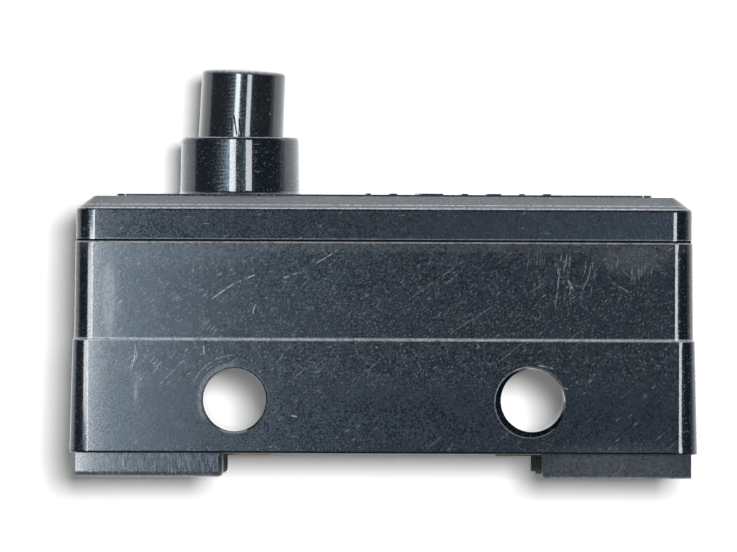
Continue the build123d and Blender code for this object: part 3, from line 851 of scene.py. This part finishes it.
def keep(shape: bmesh.types.BMesh, name: str, material: bpy.types.Material, body: Body) -> bpy.types.Object:
    """Makes a piece of a finished shape and lets it ride.

    Args:
        shape: the shape in millimetres, in the switch's own frame; it is freed.
        name: the piece's name.
        material: its finish.
        body: what it moves with.

    Returns:
        The piece.
    """
    bmesh.ops.remove_doubles(shape, verts=shape.verts, dist=MERGE_REACH)
    bmesh.ops.recalc_face_normals(shape, faces=shape.faces)
    bmesh.ops.scale(shape, vec=(MM, MM, MM), verts=shape.verts)
    mesh = bpy.data.meshes.new(name)
    shape.to_mesh(mesh)
    shape.free()
    mesh.shade_smooth()
    mesh.set_sharp_from_angle(angle=math.radians(SHARP_ANGLE))
    mesh.materials.append(material)
    piece = bpy.data.objects.new(name, mesh)
    bpy.context.collection.objects.link(piece)
    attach(piece, body.value)
    LOG.info("made %s: %d faces", name, len(mesh.polygons))
    return piece


@dataclass(frozen=True)
class Case:
    """The housing and the cover, the flash in the seam between them, whose black paints the seam's shade,
    and the bars on the pad.
    """

    hole_x: float = 12.5
    hole_height: float = 6.5
    hole_radius: float = 2.65
    underside: float = 2.0       # of the base, between the feet
    ledge: float = 11.6
    seam: float = 19.8
    shoulder: float = 22.5
    seam_gap: float = 0.15
    pad_top: float = 23.78
    corner_radius: float = 1.6
    corner_steps: int = 6
    flash_inset: float = 0.06    # from the cover's face in to the flash
    flash_depth: float = 0.4
    flash_cuts: int = 110        # along each side
    flash_rag: float = 0.05
    flash_wave: float = 1.7      # turns of the rag's noise in a millimetre
    bar_height: float = 0.13
    bar_width: float = 1.6
    bar_round: float = 0.06
    bar_rows: tuple[float, ...] = (-3.1, 0.0, 3.1)
    bar_lengths: tuple[float, ...] = (0.5, 0.7, 2.4, 0.6, 1.3)
    bar_gap: float = 1.5
    bars_from: float = -1.6
    bars_to: float = 17.0

    def build(self) -> None:
        """Dresses the mouldings and makes the small pieces on them."""
        dress(self._housing_finish(), "housing")
        cover = self._cover_finish()
        dress(cover, "cover")
        self._flash_and_seam_shade()
        self._bars(cover)

    @property
    def left(self) -> Pair:
        """The left hole's axis in X and Z."""
        return -self.hole_x, self.hole_height

    @property
    def right(self) -> Pair:
        """The right hole's axis in X and Z."""
        return self.hole_x, self.hole_height

    def _housing_finish(self) -> bpy.types.Material:
        """The housing's worn skin."""
        bore = self.hole_radius + 0.02
        # the level under the base's bottom edge is a painted shadow line
        return Moulding("case_phenolic", scored=self._scored(), worn_and_sheen=self._worn(),
                        chips_and_highlights=self._chips_and_highlights(), painted_shade_lines=(Level(self.underside + 0.12, 0.22),),
                        bores=((*self.left, bore), (*self.right, bore))).make()

    def _scored(self) -> tuple[Mark, ...]:
        """The housing's scratches: all over, in rubbed spots, and single ones."""
        upright = Scratches(83.0, 1.5, 0.11, 0.55, seed=3.1, laid=True)
        rising = Scratches(48.0, 1.1, 0.1, 0.35, seed=5.7, strength=0.8, laid=True)
        return (
            Scratches(40.0, 3.0, 0.1, 0.05, strength=0.5),
            Scratches(36.0, 0.6, 0.1, 0.09, seed=7.3, strength=0.7),
            Scuffs(upright, (
                Patch((16.0, 17.1), (2.4, 3.3), 1.0), Patch((20.6, 17.7), (2.6, 1.5), 0.7),
                Patch((-21.0, 15.9), (0.7, 1.2), 0.9), Patch((-15.8, 17.9), (1.3, 1.0), 0.9),
                Patch((12.6, 17.4), (1.5, 2.4), 0.45), Patch((-20.9, 9.6), (0.6, 1.8), 0.8),
                Patch((-10.9, 14.1), (0.5, 0.7), 0.9))),
            Scuffs(rising, (
                Patch((-22.2, 13.6), (1.8, 2.6), 0.9), Patch((-14.0, 12.2), (2.6, 1.6), 0.7),
                Patch((-18.6, 9.0), (3.0, 2.2), 0.8), Patch((-18.0, 14.6), (4.0, 3.0), 0.35))),
            *(Stroke(*drawn) for drawn in (
                ((-14.4, 15.0), (-12.6, 16.25), 0.13), ((-12.6, 16.25), (-10.9, 16.95), 0.13),
                ((-8.4, 16.75), (-6.7, 17.35), 0.12), ((-5.65, 18.0), (-4.4, 18.75), 0.12),
                ((-11.0, 13.8), (-10.8, 14.5), 0.12), ((2.4, 15.2), (6.8, 18.3), 0.1, 0.4),
                ((5.7, 12.2), (9.1, 14.4), 0.1, 0.4), ((11.5, 12.2), (13.1, 13.5), 0.1, 0.35),
                ((15.46, 16.58), (15.95, 15.75), 0.17), ((16.7, 15.9), (17.2, 16.9), 0.13, 0.5),
                ((19.2, 16.4), (20.5, 15.7), 0.12, 0.7), ((20.0, 17.4), (20.9, 16.8), 0.12, 0.6),
                ((14.9, 18.7), (14.4, 14.4), 0.12, 0.7), ((12.8, 9.5), (14.6, 9.15), 0.15),
                ((15.0, 7.6), (15.4, 7.5), 0.18), ((-9.45, 9.0), (-7.65, 11.3), 0.1, 0.5),
                ((-20.85, 10.95), (-20.95, 9.6), 0.16), ((-18.7, 7.85), (-16.85, 9.75), 0.1, 0.6),
                ((-15.1, 11.0), (-15.1, 10.3), 0.12), ((-7.7, 5.16), (-7.3, 5.1), 0.17))),
            Ring((16.3, 17.0), 0.86, 0.13, 0.35, 270.0, 95.0),
            Ring(self.left, 3.72, 0.12, 0.5, 128.0, 32.0),
            Ring(self.left, 3.4, 0.1, 0.35, 125.0, 26.0),
        )

    def _worn(self) -> tuple[Mark, ...]:
        """Where the housing is rubbed: its end, the edges, the holes' mouths and the feet."""
        smears = Streaks(self.underside + 0.05, self.seam, (0.34, 0.34, 3.2), 1.0)
        drawn = Streaks(-0.1, self.underside + 0.05, (0.13, 0.13, 0.9), 0.9)
        return (
            Level(self.seam - 0.45, 1.3, 0.16), Level(self.underside, 0.2, 0.25),
            Patch((-23.1, 15.0), (0.8, 4.6), 1.0), Patch((-24.3, 9.5), (1.4, 3.0), 0.12),
            Scuffs(smears, (Patch((-23.2, 15.0), (1.3, 4.8), 0.8),
                            Patch((-20.6, 6.6), (0.8, 3.6), 0.7))),
            Patch((-17.5, 18.6), (9.0, 1.5), 0.16), Patch((21.0, 18.6), (4.5, 1.9), 0.25),
            Ring(self.left, 2.92, 0.7, 0.6, 150.0, 62.0), Ring(self.left, 2.8, 0.12, 0.5),
            Ring(self.right, 2.78, 0.14, 0.7, 45.0, 60.0), Patch((19.5, 0.9), (10.0, 2.4), 0.32),
            Scuffs(drawn, (Patch((-19.7, 1.0), (11.0, 4.0), 1.0),)),
        )

    def _chips_and_highlights(self) -> tuple[Mark, ...]:
        """The housing's pale edge lines: a painted highlight along the ledge, a line at the seam that is
        partly worn and partly painted highlight, a pale line at the feet and bare chips on the right hole's
        mouth.
        """
        return (
            Level(self.ledge - 0.03, 0.34), Level(self.seam - 0.07, 0.2, 0.8),
            Level(0.06, 0.2, 0.45), Ring((12.33, 6.35), 2.98, 0.13, 0.8, 200.0, 110.0),
        )

    def _cover_finish(self) -> bpy.types.Material:
        """The cover's skin, with flow lines along its chamfer and turning marks on its collar, a painted
        sheen over the chamfer and painted highlights along its edges and the collar's top.
        """
        scored = (Scratches(30.0, 0.4, 0.11, 0.05, seed=2.0, strength=0.8),
                  Scratches(3.0, 0.9, 0.09, 0.04, seed=6.0, strength=0.5))
        # the broad level over the chamfer lightens its upward face: painted sheen
        worn_and_sheen = (Streaks(self.shoulder + 0.05, 23.7, (3.5, 0.5, 0.06), 0.3),
                Level(self.shoulder + 0.5, 1.0, 0.12))
        # painted highlights along the chamfer's two edges and the collar's top edge; the line at the seam
        # edge is partly worn and partly painted highlight
        chips_and_highlights = (Level(self.shoulder + 0.07, 0.17, 0.8), Level(self.shoulder + 0.37, 0.12, 0.6),
                   Level(self.seam + 0.22, 0.1, 0.5), Level(28.6, 0.1, 0.4))
        return Moulding("cover_phenolic", roughness=0.25, coat_roughness=0.055, warp=-0.045,
                        ribs=0.004, ribs_from=24.0,
                        scored=scored, worn_and_sheen=worn_and_sheen, chips_and_highlights=chips_and_highlights).make()

    def _flash_and_seam_shade(self) -> None:
        """The thin ragged skin of moulding stock that stands in the seam; it is near-black, painted shade
        for the gap.
        """
        low, high = (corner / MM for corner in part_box("cover"))
        long, deep = (high.x - low.x - 2 * self.flash_inset, high.y - low.y - 2 * self.flash_inset)
        shape = bmesh.new()
        bmesh.ops.create_grid(shape, x_segments=1, y_segments=1, size=0.5)
        bmesh.ops.scale(shape, vec=(long, deep, 1.0), verts=shape.verts)
        bmesh.ops.translate(shape, vec=(0.0, 0.0, self.seam + 0.01), verts=shape.verts)
        bmesh.ops.bevel(shape, geom=shape.verts[:], offset=self.corner_radius - self.flash_inset,
                        affect="VERTICES", segments=self.corner_steps, profile=0.5, material=-1)
        sides = [edge for edge in shape.edges if edge.calc_length() > 2 * self.corner_radius]
        bmesh.ops.subdivide_edges(shape, edges=sides, cuts=self.flash_cuts)
        for vertex in shape.verts:
            rag = noise.noise(vertex.co * self.flash_wave) * self.flash_rag
            vertex.co.x += math.copysign(rag, vertex.co.x) * (abs(vertex.co.x) > long / 2 - 1.0)
            vertex.co.y += math.copysign(rag, vertex.co.y) * (abs(vertex.co.y) > deep / 2 - 1.0)
        rim = bmesh.ops.inset_region(shape, faces=shape.faces[:], thickness=self.flash_depth,
                                     use_boundary=True, use_even_offset=True)["faces"]
        inner = [face for face in shape.faces if face not in set(rim)]
        bmesh.ops.delete(shape, geom=inner, context="FACES")
        lifted = bmesh.ops.extrude_face_region(shape, geom=shape.faces[:])["geom"]
        bmesh.ops.translate(shape, vec=(0.0, 0.0, self.seam_gap - 0.02),
                            verts=[part for part in lifted if isinstance(part, bmesh.types.BMVert)])
        keep(shape, "seam_flash_and_shade", SeamShadeStock("seam_shade_stock").make(), Body.CASE)

    def _bars(self, material: bpy.types.Material) -> None:
        """Short raised bars in rows on the pad, with nothing to read in them."""
        shape = bmesh.new()
        for middle in self.bar_rows:
            place = self.bars_from
            for length in self.bar_lengths * 2:
                if place + length < self.bars_to:
                    self._bar(shape, (place + length / 2, middle, self.pad_top), length)
                place += length + self.bar_gap
        keep(shape, "pad_bars", material, Body.CASE)

    def _bar(self, shape: bmesh.types.BMesh, centre: Triple,
             length: float) -> None:
        """Adds one bar with rounded edges, sunk into the pad by its own height.

        Args:
            shape: the mesh that gets the bar.
            centre: its middle, on the pad's top.
            length: its length along X.
        """
        size = Matrix.Diagonal((length, self.bar_width, 2 * self.bar_height, 1.0))
        place = Matrix.Translation(centre) @ size
        corners = bmesh.ops.create_cube(shape, size=1.0, matrix=place)["verts"]
        edges = list({edge for vertex in corners for edge in vertex.link_edges})
        bmesh.ops.bevel(shape, geom=edges, offset=self.bar_round, affect="EDGES", segments=2,
                        profile=0.5, material=-1)


@dataclass(frozen=True)
class Plunger:
    """The button, the ring and the spring inside it, and the pin."""

    axis_x: float = -12.18       # of the bore, at the collar's top
    collar_top: float = 28.65
    lean: float = 2.4            # degrees towards +X
    stroke: float = 2.4
    pin_stroke: float = 0.159
    spring_low: float = 23.65
    spring_high: float = 31.5
    spring_radius: float = 1.65
    crown: float = 34.3          # middle of the worn band round the button's top, on its axis
    wire: float = 0.45
    wire_sides: int = 12
    turns: int = 6
    steps_per_turn: int = 24
    colour: Triple = (0.012, 0.016, 0.020)
    steel: Triple = (0.55, 0.55, 0.56)
    steel_stain: Triple = (0.35, 0.33, 0.3)
    nylon: Triple = (0.6, 0.54, 0.42)

    def build(self) -> None:
        """Dresses the button and its ring and makes the spring."""
        dress(self._button_finish(), "button")
        steel = Metal("spring_wire", self.steel, self.steel_stain).make()
        dress(steel, "retaining_ring")
        dress(Plastic("pin_nylon", self.nylon).make(), "actuating_pin")
        self._spring(steel)

    def _button_finish(self) -> bpy.types.Material:
        """Polished phenolic, dulled on the crown, where the pale band is partly wear and partly painted
        sheen on the rounded edge, and nicked low on its front.
        """
        scored = (Stroke((-12.6, 28.9), (-12.78, 30.1), 0.1),
                  Stroke((-12.25, 28.85), (-12.4, 29.6), 0.1),
                  Scratches(60.0, 0.3, 0.1, 0.04, seed=1.0, strength=0.8))
        gouged = (Stroke((-12.5, 28.85), (-12.72, 30.4), 0.17),
                  Stroke((-12.1, 28.8), (-12.3, 30.1), 0.17),
                  Stroke((-12.9, 29.2), (-12.95, 30.2), 0.12))
        tilt = math.tan(math.radians(self.lean))
        crown = self.crown + self.axis_x * tilt
        # pale band round the crown: partly wear, partly painted sheen
        worn_and_sheen, chips_and_highlights = (Level(crown, 0.9, 0.6, tilt),), (Level(crown - 0.15, 0.36, 0.4, tilt),)
        return Moulding("button_phenolic", self.colour, roughness=0.22, grain=0.004, mottle=0.3,
                        speckle=0.35, ribs=0.004, scored=scored, worn_and_sheen=worn_and_sheen, chips_and_highlights=chips_and_highlights,
                        gouged=gouged).make()

    def _spring(self, material: bpy.types.Material) -> None:
        """The coil between the pin's head and the button's crown."""
        low, high = self.spring_low + self.wire / 2, self.spring_high - self.wire / 2
        steps = self.turns * self.steps_per_turn
        shape = bmesh.new()
        upright = Matrix.Rotation(math.pi / 2, 4, "X")
        start = Matrix.Translation((self.spring_radius, 0.0, low)) @ upright
        bmesh.ops.create_circle(shape, segments=self.wire_sides, radius=self.wire / 2, matrix=start)
        bmesh.ops.spin(shape, geom=shape.edges[:], cent=(0.0, 0.0, 0.0), axis=(0.0, 0.0, 1.0),
                       dvec=(0.0, 0.0, (high - low) / steps), angle=self.turns * 2 * math.pi,
                       steps=steps)
        bmesh.ops.holes_fill(shape, edges=shape.edges, sides=0)
        pivot = Vector((self.axis_x, 0.0, self.collar_top))
        turn = Matrix.Rotation(math.radians(self.lean), 4, "Y")
        lowered = Matrix.Translation((0.0, 0.0, -self.collar_top))
        leaning = Matrix.Translation(pivot) @ turn @ lowered
        bmesh.ops.transform(shape, matrix=leaning, verts=shape.verts)
        spring = keep(shape, "overtravel_coil", material, Body.PIN)
        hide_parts("overtravel_spring")
        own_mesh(spring)


@dataclass(frozen=True)
class Works:
    """The blade, its contacts and arms, the terminals, the screws and the guide."""

    brass: Triple = (0.56, 0.39, 0.18)
    brass_stain: Triple = (0.3, 0.18, 0.09)
    brass_edge: float = 2.97     # from the middle plane out to the strips' sheared edges
    plate: Triple = (0.66, 0.65, 0.6)
    plate_stain: Triple = (0.4, 0.36, 0.28)
    silver: Triple = (0.85, 0.84, 0.81)
    silver_stain: Triple = (0.5, 0.47, 0.42)
    copper: Triple = (0.75, 0.42, 0.22)
    copper_stain: Triple = (0.45, 0.22, 0.1)
    bush: Triple = (0.16, 0.07, 0.035)

    def build(self) -> None:
        """Dresses the metal pieces and the guide."""
        dress(Metal("rolled_brass", self.brass, self.brass_stain, edge=self.brass_edge).make(),
              "com_terminal", "no_terminal", "nc_terminal", "nc_arm", "no_arm", "anchor_rivet",
              "blade_anchor")
        dress(Metal("plated_steel", self.plate, self.plate_stain).make(),
              "terminal_screws", "lock_washers", "cover_screws")
        dress(Metal("contact_alloy", self.silver, self.silver_stain).make(),
              "moving_contact", "nc_contact", "no_contact")
        dress(Metal("blade_strip", self.copper, self.copper_stain).make(), "snap_blade")
        dress(Plastic("brown_bush", self.bush).make(), "plunger_guide")


def main() -> None:
    """Builds the sub-assemblies in order, then the studio and the camera."""
    logging.basicConfig(level=logging.INFO, format="%(message)s")
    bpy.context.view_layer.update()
    for assembly in (Case(), Plunger(), Works(), Studio(), Viewpoint()):
        assembly.build()
        LOG.info("built %s", type(assembly).__name__)


if __name__ == "__main__":
    main()
